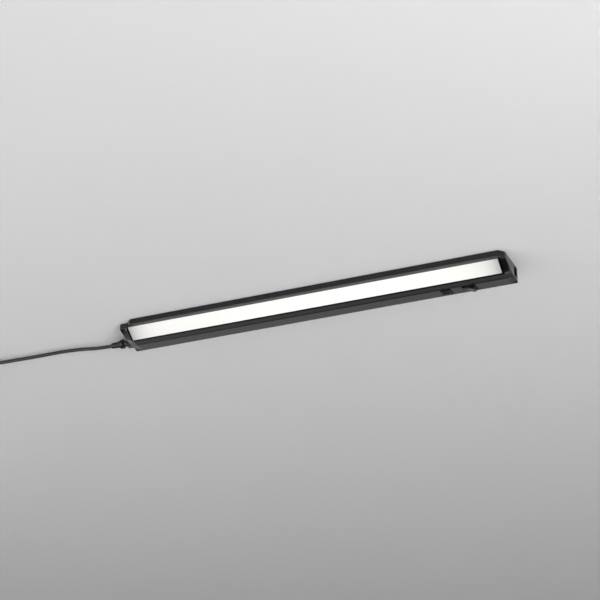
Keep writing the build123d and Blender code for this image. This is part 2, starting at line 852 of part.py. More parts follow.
def strain_relief():
    """A ribbed, tapering boot, its flange against the neck."""
    start = connector_face - collar_length - neck_length
    flange_end = start - boot_flange_length
    tip = start - boot_length
    length = flange_end - tip
    place = (start, socket_y, lead_z)
    boot = rod(place, (-1, 0, 0), boot_flange_radius, boot_flange_length)
    boot = chamfer(boot.edges().filter_by(GeomType.CIRCLE), 0.8)
    taper = Plane((flange_end, socket_y, lead_z), z_dir=(-1, 0, 0))
    boot += loft([taper * Circle(boot_root_radius), taper.offset(length) * Circle(boot_tip_radius)])
    pitch = length / (boot_ribs + 1)
    for number in range(boot_ribs):
        x = flange_end - pitch * (number + 1)
        radius = boot_root_radius + (boot_tip_radius - boot_root_radius) * pitch * (number + 1) / length
        ring = rod((x + 0.5, socket_y, lead_z), (-1, 0, 0), radius + 1, 1.0)
        ring -= rod((x + 0.5, socket_y, lead_z), (-1, 0, 0), radius - 0.7, 1.0)
        boot -= ring
    return boot


# The cord's route from the strain relief to its hank, as steps away from the boot's tip,
# and from the hank to the plug, as steps from the middle of the hank's far fold.
tail_y = hank_centre[1] - hank_outline - plug_size[1] / 2 - 1.8
cord_route = [
    (boot_tip_x, socket_y, lead_z),
    (boot_tip_x - 22, socket_y, lead_z),
    (boot_tip_x - 50, socket_y - 0.4, lead_z + 3.6),
    (boot_tip_x - 86, socket_y - 1.1, lead_z + 5.0),
    (boot_tip_x - 128, socket_y - 1.8, lead_z + 4.2),
    (boot_tip_x - 170, socket_y - 2.4, lead_z + 4.5),
    (hank_face + 15, hank_centre[1] + outer_fold, hank_high_z),
    (hank_face + 1, hank_centre[1] + outer_fold, hank_high_z),
]
fold_x = hank_centre[0] - hank_run / 2
leave_x = fold_x - outer_fold * sin(radians(40)) + 16 * cos(radians(40))
leave_y = hank_centre[1] - outer_fold * cos(radians(40)) - 16 * sin(radians(40))
tail_route = [
    (leave_x, leave_y, hank_low_z),
    (leave_x + 8.4, leave_y - 7.1, hank_low_z),
    (leave_x + 21.4, tail_y + 2.5, hank_low_z),
    (leave_x + 34.4, tail_y, hank_low_z),
    (leave_x + 46.4, tail_y, hank_low_z),
]


def bend_radii(route):
    """Each arc as large as its two runs allow."""
    points = [Vector(*point) for point in route]
    radii = []
    for before, here, after in zip(points, points[1:], points[2:]):
        turn = (here - before).get_angle(after - here)
        run = min((here - before).length, (after - here).length)
        radii.append(0.45 * run / tan(radians(turn / 2)))
    return radii


def tube(route):
    radii = bend_radii(route)
    print("bend radii", [round(radius, 1) for radius in radii])
    path = FilletPolyline(*route, radius=radii)
    direction = Vector(*route[1]) - Vector(*route[0])
    profile = Plane(route[0], z_dir=direction) * Circle(cord_diameter / 2)
    swept = sweep(profile, path=path)
    expected = pi * (cord_diameter / 2) ** 2 * path.length
    share = round(swept.volume / expected, 4)
    print("tube length", round(path.length, 1), "volume over section x length", share)
    return swept


def cord_hank():
    """The outer shape of the folded lead, with a stub where the cord enters and leaves."""
    x, y = hank_centre
    radius = outer_fold + cord_diameter / 2
    thickness = hank_layers * cord_diameter + 0.1
    outline = Plane((x, y, hank_top - thickness)) * SlotCenterToCenter(hank_run, 2 * radius)
    shape = extrude(outline, amount=thickness)
    entry = cord_route[-1]
    shape += rod(entry, (-1, 0, 0), cord_diameter / 2, 30.0)
    leaving = Vector(*tail_route[0]) - Vector(*tail_route[1])
    shape += rod(tail_route[0], tuple(leaving), cord_diameter / 2, 16.0)
    return shape


def strap_ring():
    """The band round the hank and the plug, as its outer and inner blocks."""
    x = tail_route[-1][0] + plug_boot_length + plug_size[0] / 2
    y = (tail_route[-1][1] - plug_size[1] / 2 - 1.6, hank_centre[1] + outer_fold + cord_diameter / 2 + 1.0)
    top = -strap_thickness
    low = tail_route[-1][2] - plug_size[2] / 2 - 0.3 - strap_thickness
    return (x - strap_width / 2, x + strap_width / 2), y, (low, top)


def hank_strap():
    x, y, z = strap_ring()
    thick = strap_thickness
    band = bar(x, y, z)
    band = fillet(band.edges().filter_by(Axis.X), 2.0)
    hollow = bar((x[0] - 1, x[1] + 1), (y[0] + thick, y[1] - thick), (z[0] + thick, z[1] - thick))
    hollow = fillet(hollow.edges().filter_by(Axis.X), 1.2)
    return band - hollow


def hank_base():
    """The adhesive base that carries the strap through its slot."""
    x, y, z = strap_ring()
    middle = (x[0] + x[1]) / 2
    wide, deep, tall = base_size
    place = hank_centre[1]
    base = bar((middle - wide / 2, middle + wide / 2), (place - deep / 2, place + deep / 2), (-tall, 0))
    base = chamfer(base.edges().filter_by(Axis.Z), 3.0)
    slot_z = (z[1] - strap_thickness - 0.05, z[1] + 0.05)
    slot = bar((x[0] - 0.1, x[1] + 0.1), (place - deep, place + deep), slot_z)
    return base - slot


def mains_plug():
    """A flat two-pin plug body, its wide face towards +X."""
    length, wide, tall = plug_size
    x = tail_route[-1][0] + plug_boot_length
    y, z = tail_route[-1][1:]
    start = Plane((x, y, z), x_dir=(0, 1, 0), z_dir=(1, 0, 0))
    tip = start * RectangleRounded(plug_tip_width, tall - 2.0, 4.0)
    middle = start.offset(length * 0.55) * RectangleRounded(wide - 4.0, tall, 5.0)
    end = start.offset(length) * RectangleRounded(wide, tall, 5.0)
    body = loft([tip, middle, end], ruled=True)
    for side in (-1, 1):
        place = (x + length - 8.0, y + side * plug_pin_pitch / 2, z)
        body -= rod(place, (1, 0, 0), plug_pin_diameter / 2, 9.0)
    return body


def plug_pins():
    length = plug_size[0]
    x = tail_route[-1][0] + plug_boot_length + length - 8.0
    y, z = tail_route[-1][1:]
    pins = []
    for side in (-1, 1):
        start = (x, y + side * plug_pin_pitch / 2, z)
        pin = rod(start, (1, 0, 0), plug_pin_diameter / 2, plug_pin_length + 8.0)
        pins.append(chamfer(pin.edges().sort_by(Axis.X)[-1], 0.9))
    return pins


def plug_boot():
    start = Plane(tail_route[-1], z_dir=(1, 0, 0))
    boot = loft([start * Circle(cord_diameter / 2 + 0.8), start.offset(plug_boot_length) * Circle(5.2)])
    pitch = plug_boot_length / 6
    for number in range(1, 6):
        x = tail_route[-1][0] + pitch * number
        place = (x - 0.5, *tail_route[-1][1:])
        radius = cord_diameter / 2 + 0.8 + (5.2 - cord_diameter / 2 - 0.8) * number / 6
        boot -= rod(place, (1, 0, 0), radius + 1, 1.0) - rod(place, (1, 0, 0), radius - 0.6, 1.0)
    return boot


# ---- write every node ----
os.makedirs("parts", exist_ok=True)

save("housing", housing())
save("left_end_cap", left_cap())
save("right_end_cap", right_cap())
save("end_cap_screws", *end_cap_screws())
save("diffuser", diffuser())
save("light_tray", light_tray())
save("led_board", led_board())
save("leds", *leds())
save("driver_board", driver_board())
save("input_terminal", terminal(board_start + terminal_size[0] / 2 + 1.0))
save("output_terminal", terminal(board_end - terminal_size[0] / 2 - 1.0))
save("led_leads", *led_leads())
save("fuse", fuse())
save("film_capacitor", film_capacitor())
save("choke", choke())
transformer_core, transformer_winding = transformer()
save("transformer_core", transformer_core)
save("transformer_winding", transformer_winding)
save("electrolytic_capacitors", *electrolytic_capacitors())
save("through_wires", *through_wires())
save("outlet_socket", outlet_socket())
save("outlet_contacts", *outlet_contacts())
save("inlet_socket", inlet_socket())
save("inlet_pins", *inlet_pins())
save("rocker_body", rocker_body())
save("rocker_paddle", rocker_paddle())
save("rocker_terminals", *blades(rocker_x, 3, 5.5))
save("selector_body", selector_body())
save("selector_base_plate", selector_base_plate())
save("selector_slider", selector_slider())
save("selector_terminals", *blades(selector_x, 3, 3.6))
save("mounting_clips", *mounting_clips())
save("lead_connector", lead_connector())
save("connector_contacts", *connector_contacts())
save("strain_relief", strain_relief())
save("mains_cord", tube(cord_route))
save("cord_tail", tube(tail_route))
save("cord_hank", cord_hank())
save("hank_strap", hank_strap())
save("hank_base", hank_base())
save("mains_plug", mains_plug())
save("plug_pins", *plug_pins())
save("plug_strain_relief", plug_boot())
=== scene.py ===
"""Builds the visible model of an under-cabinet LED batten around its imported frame."""

import math

import bmesh
import bpy
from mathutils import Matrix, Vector
from mathutils.bvhtree import BVHTree
from mathutils.kdtree import KDTree


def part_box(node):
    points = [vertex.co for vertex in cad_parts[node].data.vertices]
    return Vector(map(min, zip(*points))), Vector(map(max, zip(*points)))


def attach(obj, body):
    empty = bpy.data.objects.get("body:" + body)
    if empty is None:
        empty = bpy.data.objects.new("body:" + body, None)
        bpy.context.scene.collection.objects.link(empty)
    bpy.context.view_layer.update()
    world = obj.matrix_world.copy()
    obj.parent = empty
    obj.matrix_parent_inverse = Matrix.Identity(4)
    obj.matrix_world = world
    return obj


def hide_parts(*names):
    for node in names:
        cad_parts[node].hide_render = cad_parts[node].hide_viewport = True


bl_info = {
    "name": "LED batten",
    "version": (1, 0, 0),
    "blender": (4, 5, 0),
    "location": "View3D > Sidebar > Batten",
    "description": "Makes the pieces, finishes and stage of an under-cabinet LED batten",
    "category": "Object",
}

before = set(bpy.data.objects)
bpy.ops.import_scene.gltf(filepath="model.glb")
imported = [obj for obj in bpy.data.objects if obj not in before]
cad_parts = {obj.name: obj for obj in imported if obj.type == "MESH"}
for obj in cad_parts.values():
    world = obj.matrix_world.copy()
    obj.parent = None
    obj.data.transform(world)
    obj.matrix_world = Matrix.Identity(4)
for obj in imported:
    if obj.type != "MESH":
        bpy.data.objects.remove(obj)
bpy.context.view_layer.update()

# Lengths are in metres throughout, and angles in radians unless a name says degrees.
GRAIN_DEPTH = 0.00002               # relief of the moulded grain
GRAIN_CELLS = 2600.0                # cells and grains of the moulded texture, to the metre
GRAIN_NOISE = 1400.0
MERGE_DISTANCE = 2e-6               # corners closer than this are one corner
FLAT_ANGLE = math.radians(0.8)      # faces that turn less than this are one face
SMOOTH_ANGLE = math.radians(24)     # edges that turn less than this are shaded smooth
CLEAR_OF_SURFACE = 2e-5             # how far off an edge the look outwards starts
STRAY_SHARE = 0.7                   # share of the rounding's width by which a point may leave the surface
BEVEL_TRIES = 8
INLET_BOOT_LENGTH = 0.0195
PLUG_BOOT_LENGTH = 0.025
BOOT_ROOT_RADIUS = 0.0052
BOOT_STEPS = 241                    # points along a boot, and sides round it
BOOT_SIDES = 48
GROOVE_DEPTH = 0.0007
GROOVE_SHARE = 0.34                 # share of a groove's pitch that is cut
GROOVE_BOTTOM = 0.45                # share of the groove that is its round bottom
LIGHT_ANGLE = math.radians(36.7)    # slope of the light face below the horizontal
LED_SIZE = (0.0028, 0.0035, 0.0008)
LED_CASE_SHARE = 0.8                # the case's share of a package's height
LED_WINDOW_RADIUS = 0.0011

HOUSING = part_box("housing")
BODY_CENTRE = (HOUSING[0] + HOUSING[1]) / 2
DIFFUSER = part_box("diffuser")

# The lead's route, from the strain relief to the hank, and from the hank to the plug.
LEAD_ROUTE = [
    (-0.32450, 0.0220, -0.0104),
    (-0.34650, 0.0220, -0.0104),
    (-0.37450, 0.0216, -0.0068),
    (-0.41050, 0.0209, -0.0054),
    (-0.45250, 0.0202, -0.0062),
    (-0.49450, 0.0196, -0.0059),
    (-0.52265, 0.0198, -0.0052),
    (-0.53665, 0.0198, -0.0052),
]
TAIL_ROUTE = [
    (-0.65587, -0.02793, -0.0104),
    (-0.64747, -0.03503, -0.0104),
    (-0.63447, -0.04200, -0.0104),
    (-0.62147, -0.04450, -0.0104),
    (-0.60947, -0.04450, -0.0104),
]
HANK_CENTRE = Vector((-0.6035, -0.0014, 0.0))
HANK_HALF_RUN = 0.051
HANK_RADII = (0.0212, 0.0160)
HANK_LAYERS = (-0.0052, -0.0104)
HANK_RUN_IN = 0.010                 # how far before a turn its run has a point
ARC_STEPS = 6                       # points round a half turn
ARC_SWELL = 1.0353                  # control points stand this much outside the arc they make
TAIL_LEAVES_AT = math.radians(230)

# The stage.
SHEET_COLOR = (0.80, 0.80, 0.80, 1.0)
CABINET_HEIGHT = 0.0004             # the sheet stands just behind the batten's back
CABINET_SIZE = 12.0
FLOOR_SIZE = 16.0
# Each lamp's name, place, aim, size and power.
LAMPS = (
    ("Key", (1.9, -1.6, -1.3), (0.2, 0.1, 0.0), (1.6, 1.6), 87.0),
    ("Fill", (-1.8, -1.2, -0.9), (0.0, 0.0, 0.0), (1.6, 1.6), 20.0),
    ("Top", (0.6, 1.2, 2.4), (0.0, 0.0, 0.0), (2.4, 2.4), 60.0),
)
# How light the room is, by how high one looks: straight down it is dark.
ROOM_STEPS = ((-0.78, 0.05), (-0.60, 0.44), (-0.42, 0.44), (0.0, 0.60))
# The light falls off near the diffuser's ends: by how much, and over what length.
END_FADES = ((0.80, 0.014), (0.20, 0.050))


# ---- settings ----
class BattenFinish(bpy.types.PropertyGroup):
    """Colours and surfaces of the batten."""

    plastic: bpy.props.FloatVectorProperty(
        name="Plastic", description="Colour of the moulded body", subtype="COLOR",
        size=4, min=0.0, max=1.0, default=(0.0035, 0.0035, 0.0037, 1.0),
    )
    lead: bpy.props.FloatVectorProperty(
        name="Lead", description="Colour of the mains lead", subtype="COLOR",
        size=4, min=0.0, max=1.0, default=(0.006, 0.006, 0.0065, 1.0),
    )
    light: bpy.props.FloatVectorProperty(
        name="Light", description="Colour of the lit diffuser", subtype="COLOR",
        size=4, min=0.0, max=1.0, default=(1.0, 0.985, 0.955, 1.0),
    )
    brightness: bpy.props.FloatProperty(
        name="Brightness", description="How strongly the diffuser glows",
        min=0.0, max=20.0, default=0.61,
    )
    led_count: bpy.props.IntProperty(
        name="LEDs", description="Number of LED packages in the row", min=1, max=200, default=48,
    )
    rounding: bpy.props.FloatProperty(
        name="Rounding", description="Radius of the body's moulded edges", subtype="DISTANCE",
        unit="LENGTH", min=0.0, max=0.002, default=0.00035,
    )


class BattenLead(bpy.types.PropertyGroup):
    """Sizes of the mains lead."""

    diameter: bpy.props.FloatProperty(
        name="Diameter", description="Outside diameter of the round lead", subtype="DISTANCE",
        unit="LENGTH", min=0.002, max=0.02, default=0.0052,
    )
    boot_ribs: bpy.props.IntProperty(
        name="Boot ribs", description="Grooves round each strain relief", min=0, max=20, default=5,
    )


class BattenStage(bpy.types.PropertyGroup):
    """The camera, the plain backdrop and the studio light."""

    camera_place: bpy.props.FloatVectorProperty(
        name="Camera", description="Where the camera stands", subtype="XYZ", unit="LENGTH",
        size=3, default=(0.8437, -1.9682, -1.0080),
    )
    camera_turn: bpy.props.FloatVectorProperty(
        name="Turn", description="The camera's pitch, roll and heading", subtype="EULER",
        size=3, default=(math.radians(115.06), 0.0, math.radians(23.62)),
    )
    focal_length: bpy.props.FloatProperty(
        name="Focal length", description="Lens, in millimetres, on a 36 mm wide sensor",
        min=10.0, max=400.0, default=103.14,
    )
    room_light: bpy.props.FloatProperty(
        name="Room light", description="Strength of the soft light from all round",
        min=0.0, max=10.0, default=1.38,
    )
    floor_height: bpy.props.FloatProperty(
        name="Floor", description="Height of the pale floor", subtype="DISTANCE", unit="LENGTH",
        min=-5.0, max=0.0, default=-1.45,
    )


# ---- shader groups ----
def new_group(name, inputs, outputs):
    """An empty shader group with the named sockets, and its two end nodes."""
    group = bpy.data.node_groups.new(name, "ShaderNodeTree")
    for label, kind, default in inputs:
        socket = group.interface.new_socket(name=label, in_out="INPUT", socket_type=kind)
        if default is not None:
            socket.default_value = default
    for label, kind in outputs:
        group.interface.new_socket(name=label, in_out="OUTPUT", socket_type=kind)
    start = group.nodes.new("NodeGroupInput")
    end = group.nodes.new("NodeGroupOutput")
    return group, start, end


def feed(tree, socket, value):
    """Links a socket to another one, or sets its value."""
    if isinstance(value, bpy.types.NodeSocket):
        tree.links.new(value, socket)
    else:
        socket.default_value = value


def add(tree, kind, settings=None, **inputs):
    """A node with its properties set, and its inputs set or linked by name."""
    node = tree.nodes.new(kind)
    for key, value in (settings or {}).items():
        setattr(node, key, value)
    for key, value in inputs.items():
        feed(tree, node.inputs[key.replace("_", " ")], value)
    return node


def shader_math(tree, operation, *values):
    """A Math node's result."""
    node = tree.nodes.new("ShaderNodeMath")
    node.operation = operation
    for socket, value in zip(node.inputs, values):
        feed(tree, socket, value)
    return node.outputs[0]


def mix_color(tree, factor, first, second):
    """A colour between two, by a factor; the Mix node has its colours at inputs 6 and 7."""
    node = tree.nodes.new("ShaderNodeMix")
    node.data_type = "RGBA"
    for place, value in ((0, factor), (6, first), (7, second)):
        feed(tree, node.inputs[place], value)
    return node.outputs[2]


def remap(tree, value, low, high, new_low=0.0, new_high=1.0):
    """A value moved from one range to another and held within it."""
    node = add(tree, "ShaderNodeMapRange", Value=value)
    for place, number in enumerate((low, high, new_low, new_high), 1):
        node.inputs[place].default_value = number
    return node.outputs[0]


def moulded_grain_group():
    """Fine spark-eroded texture of moulded plastic, with slow variation of its gloss."""
    group, start, end = new_group(
        "Moulded grain",
        [
            ("Vector", "NodeSocketVector", None), ("Scale", "NodeSocketFloat", 1.0),
            ("Gloss Variation", "NodeSocketFloat", 0.08), ("Roughness", "NodeSocketFloat", 0.4),
        ],
        [("Height", "NodeSocketFloat"), ("Roughness", "NodeSocketFloat")],
    )
    place = start.outputs["Vector"]
    cell_scale = shader_math(group, "MULTIPLY", start.outputs["Scale"], GRAIN_CELLS)
    cells = add(group, "ShaderNodeTexVoronoi", {"feature": "SMOOTH_F1"}, Vector=place, Scale=cell_scale)
    noise_scale = shader_math(group, "MULTIPLY", start.outputs["Scale"], GRAIN_NOISE)
    noise = add(group, "ShaderNodeTexNoise", Vector=place, Scale=noise_scale, Detail=4.0)
    height = shader_math(group, "ADD", cells.outputs["Distance"], noise.outputs[0])
    slow = add(group, "ShaderNodeTexNoise", Vector=place, Scale=24.0, Detail=3.0)
    swing = shader_math(group, "SUBTRACT", slow.outputs[0], 0.5)
    swing = shader_math(group, "MULTIPLY", swing, start.outputs["Gloss Variation"])
    swing = shader_math(group, "MULTIPLY", swing, 2.0)
    roughness = shader_math(group, "ADD", start.outputs["Roughness"], swing)
    group.links.new(height, end.inputs["Height"])
    group.links.new(roughness, end.inputs["Roughness"])
    return group


def dust_group():
    """Thin settled dust and finger marks, as a colour over the base colour."""
    group, start, end = new_group(
        "Settled dust",
        [
            ("Vector", "NodeSocketVector", None), ("Base Color", "NodeSocketColor", (0.02, 0.02, 0.02, 1.0)),
            ("Dust Color", "NodeSocketColor", (0.30, 0.29, 0.27, 1.0)), ("Amount", "NodeSocketFloat", 0.03),
        ],
        [("Color", "NodeSocketColor"), ("Mask", "NodeSocketFloat")],
    )
    place = start.outputs["Vector"]
    cloud = add(group, "ShaderNodeTexNoise", Vector=place, Scale=60.0, Detail=6.0, Roughness=0.65)
    speck = add(group, "ShaderNodeTexNoise", Vector=place, Scale=900.0, Detail=2.0)
    clouds = remap(group, cloud.outputs[0], 0.45, 0.8)
    specks = remap(group, speck.outputs[0], 0.62, 0.72)
    both = shader_math(group, "ADD", clouds, shader_math(group, "MULTIPLY", specks, 0.8))
    mask = shader_math(group, "MULTIPLY", both, start.outputs["Amount"])
    color = mix_color(group, mask, start.outputs["Base Color"], start.outputs["Dust Color"])
    group.links.new(color, end.inputs["Color"])
    group.links.new(mask, end.inputs["Mask"])
    return group


def edge_rub_group():
    """Where edges are rubbed smooth and a little lighter."""
    group, start, end = new_group(
        "Edge rub",
        [
            ("Vector", "NodeSocketVector", None), ("Color", "NodeSocketColor", (0.02, 0.02, 0.02, 1.0)),
            ("Rubbed Color", "NodeSocketColor", (0.08, 0.08, 0.08, 1.0)), ("Amount", "NodeSocketFloat", 0.4),
        ],
        [("Color", "NodeSocketColor"), ("Mask", "NodeSocketFloat")],
    )
    shape = group.nodes.new("ShaderNodeNewGeometry")
    edge = remap(group, shape.outputs["Pointiness"], 0.52, 0.62)
    breaks = add(group, "ShaderNodeTexNoise", Vector=start.outputs["Vector"], Scale=180.0, Detail=4.0)
    broken = remap(group, breaks.outputs[0], 0.35, 0.65)
    mask = shader_math(group, "MULTIPLY", edge, broken)
    mask = shader_math(group, "MULTIPLY", mask, start.outputs["Amount"])
    color = mix_color(group, mask, start.outputs["Color"], start.outputs["Rubbed Color"])
    group.links.new(color, end.inputs["Color"])
    group.links.new(mask, end.inputs["Mask"])
    return group


GROUPS = {"grain": moulded_grain_group(), "dust": dust_group(), "rub": edge_rub_group()}


def place_group(tree, key, **inputs):
    """One of the shader groups, with its inputs set or linked by name."""
    return add(tree, "ShaderNodeGroup", {"node_tree": GROUPS[key]}, **inputs)


# ---- materials ----
def blank_material(name):
    """A material with its Principled shader and Object coordinates centred on the batten."""
    material = bpy.data.materials.new(name)
    material.use_nodes = True
    tree = material.node_tree
    shader = tree.nodes["Principled BSDF"]
    coordinates = tree.nodes.new("ShaderNodeTexCoord")
    mapping = tree.nodes.new("ShaderNodeMapping")
    mapping.inputs["Location"].default_value = -BODY_CENTRE
    tree.links.new(coordinates.outputs["Object"], mapping.inputs["Vector"])
    return material, tree, shader, mapping.outputs[0]


def moulded(name, color, roughness=0.38, grain=1.0, strength=0.25, dust=0.02, rub=0.35):
    """Moulded plastic: fine grain, uneven gloss, light rub on its edges and a trace of dust."""
    material, tree, shader, vector = blank_material(name)
    surface = place_group(
        tree, "grain", Vector=vector, Scale=grain, Roughness=roughness, Gloss_Variation=0.10
    )
    lighter = tuple(min(1.0, c * 2.2 + 0.008) for c in color[:3]) + (1.0,)
    own_place = tree.nodes.new("ShaderNodeTexCoord").outputs["Object"]
    edges = place_group(tree, "rub", Vector=own_place, Color=color, Rubbed_Color=lighter, Amount=rub)
    dusted = place_group(tree, "dust", Vector=vector, Base_Color=edges.outputs["Color"], Amount=dust)
    tree.links.new(dusted.outputs["Color"], shader.inputs["Base Color"])
    tree.links.new(surface.outputs["Roughness"], shader.inputs["Roughness"])
    bump = add(
        tree, "ShaderNodeBump", Height=surface.outputs["Height"], Strength=strength, Distance=GRAIN_DEPTH
    )
    tree.links.new(bump.outputs[0], shader.inputs["Normal"])
    return material


def metal(name, color, roughness=0.3, streak=(900.0, 40.0, 900.0)):
    """Plated or drawn metal with fine streaks and small stains."""
    material, tree, shader, vector = blank_material(name)
    stretch = add(tree, "ShaderNodeMapping", Vector=vector)
    stretch.inputs["Scale"].default_value = streak
    grain = add(tree, "ShaderNodeTexNoise", Vector=stretch.outputs[0], Scale=1.0, Detail=5.0)
    stain = add(tree, "ShaderNodeTexNoise", Vector=vector, Scale=260.0, Detail=5.0)
    dark = tuple(c * 0.62 for c in color[:3]) + (1.0,)
    shade = mix_color(tree, remap(tree, stain.outputs[0], 0.5, 0.75), color, dark)
    tree.links.new(shade, shader.inputs["Base Color"])
    shader.inputs["Metallic"].default_value = 1.0
    gloss = remap(tree, grain.outputs[0], 0.3, 0.7, roughness * 0.75, roughness * 1.3)
    tree.links.new(gloss, shader.inputs["Roughness"])
    bump = add(tree, "ShaderNodeBump", Height=grain.outputs[0], Strength=0.2, Distance=0.00001)
    tree.links.new(bump.outputs[0], shader.inputs["Normal"])
    return material


def opal_light(name, finish):
    """Opal acrylic, lit from behind: its front glows, less towards its two ends."""
    material, tree, shader, vector = blank_material(name)
    body = add(tree, "ShaderNodeTexNoise", Vector=vector, Scale=30.0, Detail=2.0)
    base = mix_color(tree, body.outputs[0], (0.40, 0.40, 0.39, 1.0), (0.43, 0.43, 0.42, 1.0))
    shader.inputs["Roughness"].default_value = 0.32
    shape = tree.nodes.new("ShaderNodeNewGeometry")
    # The front is the face that looks down and forwards.
    parts = add(tree, "ShaderNodeSeparateXYZ", Vector=shape.outputs["True Normal"])
    faces_down = remap(tree, parts.outputs[2], -0.45, -0.7)
    faces_front = remap(tree, parts.outputs[1], -0.4, -0.55)
    front = shader_math(tree, "MULTIPLY", faces_down, faces_front)
    # Its sides are painted near-black: painted shade that makes the groove beside the lit front read dark,
    # where the real opal sides would glow.
    tree.links.new(mix_color(tree, front, (0.006, 0.006, 0.006, 1.0), base), shader.inputs["Base Color"])
    place = add(tree, "ShaderNodeSeparateXYZ", Vector=vector)
    from_middle = shader_math(tree, "ABSOLUTE", place.outputs[0])
    from_end = shader_math(tree, "SUBTRACT", (DIFFUSER[1].x - DIFFUSER[0].x) / 2, from_middle)
    fade = 1.0
    for share, reach in END_FADES:
        fall = shader_math(tree, "EXPONENT", shader_math(tree, "DIVIDE", from_end, -reach))
        fade = shader_math(tree, "SUBTRACT", fade, shader_math(tree, "MULTIPLY", fall, share))
    glow = shader_math(tree, "MULTIPLY", front, fade)
    color = mix_color(tree, glow, (0.0, 0.0, 0.0, 1.0), tuple(finish.light))
    tree.links.new(color, shader.inputs["Emission Color"])
    shader.inputs["Emission Strength"].default_value = finish.brightness
    return material


def circuit_board(name, mask, copper):
    """Solder mask with the faint relief of tracks under it."""
    material, tree, shader, vector = blank_material(name)
    tracks = add(tree, "ShaderNodeTexBrick", Vector=vector, Scale=90.0)
    tracks.inputs["Mortar Size"].default_value = 0.03
    lines = remap(tree, tracks.outputs["Fac"], 0.2, 0.8)
    tint = tuple(c * 1.5 for c in mask[:3]) + (1.0,)
    color = mix_color(tree, lines, mask, tint)
    cloud = add(tree, "ShaderNodeTexNoise", Vector=vector, Scale=400.0, Detail=3.0)
    color = mix_color(tree, remap(tree, cloud.outputs[0], 0.6, 0.8, 0.0, 0.15), color, copper)
    tree.links.new(color, shader.inputs["Base Color"])
    shader.inputs["Roughness"].default_value = 0.35
    bump = add(tree, "ShaderNodeBump", Height=lines, Strength=0.3, Distance=0.00004)
    tree.links.new(bump.outputs[0], shader.inputs["Normal"])
    return material


def led_face(name):
    """Warm yellow phosphor with a fine speckle."""
    material, tree, shader, vector = blank_material(name)
    speckle = add(tree, "ShaderNodeTexNoise", Vector=vector, Scale=3000.0, Detail=2.0)
    color = mix_color(tree, speckle.outputs[0], (0.86, 0.66, 0.16, 1.0), (0.95, 0.80, 0.34, 1.0))
    tree.links.new(color, shader.inputs["Base Color"])
    shader.inputs["Roughness"].default_value = 0.3
    return material


MATERIALS = {}


def make_materials(finish):
    """Every finish of the batten, by the record's slot name."""
    plastic = tuple(finish.plastic)
    lead = tuple(finish.lead)
    MATERIALS.update(
        body=moulded("Body plastic", plastic, roughness=0.22, grain=1.0, dust=0.003, strength=0.12),
        caps=moulded("Cap plastic", plastic, roughness=0.13, grain=1.3, dust=0.003, strength=0.06),
        diffuser=opal_light("Lit opal acrylic", finish),
        tray=metal("Black anodised tray", (0.03, 0.03, 0.033, 1.0), 0.42, (40.0, 900.0, 900.0)),
        white_board=circuit_board("White LED board", (0.80, 0.80, 0.78, 1.0), (0.7, 0.62, 0.5, 1.0)),
        green_board=circuit_board("Driver board", (0.02, 0.14, 0.05, 1.0), (0.5, 0.28, 0.12, 1.0)),
        led=led_face("LED phosphor"),
        terminal=moulded("Terminal block", (0.03, 0.22, 0.07, 1.0), 0.4),
        lead_insulation=moulded("Wire insulation", (0.40, 0.03, 0.025, 1.0), 0.35, grain=0.6),
        ceramic=moulded("Fuse ceramic", (0.72, 0.71, 0.67, 1.0), 0.22, grain=0.4, strength=0.05),
        film_capacitor=moulded("Film capacitor case", (0.62, 0.43, 0.04, 1.0), 0.3),
        ferrite=moulded("Ferrite", (0.035, 0.035, 0.038, 1.0), 0.55, grain=0.7, strength=0.5),
        winding=moulded("Winding tape", (0.60, 0.44, 0.05, 1.0), 0.28, grain=0.5),
        capacitor_sleeve=moulded(
            "Capacitor sleeve", (0.015, 0.02, 0.07, 1.0), 0.25, grain=0.5, strength=0.1
        ),
        steel=metal("Zinc plated steel", (0.62, 0.63, 0.65, 1.0), 0.34),
        brass=metal("Plain brass", (0.78, 0.58, 0.28, 1.0), 0.28),
        switch=moulded(
            "Switch plastic", tuple(c * 0.9 for c in plastic[:3]) + (1.0,), roughness=0.24, grain=1.6,
            strength=0.12, dust=0.003,
        ),
        knob=moulded("Selector knob", (0.008, 0.008, 0.0085, 1.0), roughness=0.30, grain=1.4, dust=0.003),
        cord_black=moulded(
            "Lead sheath", lead, roughness=0.34, grain=0.8, strength=0.2, rub=0.15, dust=0.004
        ),
        strap=moulded("Strap nylon", (0.014, 0.014, 0.015, 1.0), roughness=0.34, grain=0.9),
        tinned=metal("Nickel plated pins", (0.72, 0.70, 0.66, 1.0), 0.2, (60.0, 900.0, 900.0)),
    )


# ---- mesh helpers ----
def finish_piece(obj, slot, body="lamp", nodes=()):
    """Gives a piece its finish, its body and the CAD nodes it stands for."""
    if not obj.data.materials:
        obj.data.materials.append(MATERIALS[slot])
    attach(obj, body)
    if nodes:
        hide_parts(*nodes)
    return obj


def new_object(name, data):
    """An object of the named mesh, curve, camera or light, linked to the scene."""
    obj = bpy.data.objects.new(name, data)
    bpy.context.scene.collection.objects.link(obj)
    return obj


def set_material(node, key):
    """Puts a finish on a CAD node that keeps its own shape."""
    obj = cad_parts[node]
    obj.data.materials.clear()
    obj.data.materials.append(MATERIALS[key])


def merged_copy(node):
    """A CAD node's mesh with its loose triangles joined and its flat faces whole."""
    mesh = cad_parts[node].data.copy()
    mesh.materials.clear()
    work = bmesh.new()
    work.from_mesh(mesh)
    bmesh.ops.remove_doubles(work, verts=work.verts, dist=MERGE_DISTANCE)
    bmesh.ops.dissolve_limit(
        work, angle_limit=FLAT_ANGLE, use_dissolve_boundaries=False, verts=work.verts, edges=work.edges
    )
    work.to_mesh(mesh)
    work.free()
    return mesh


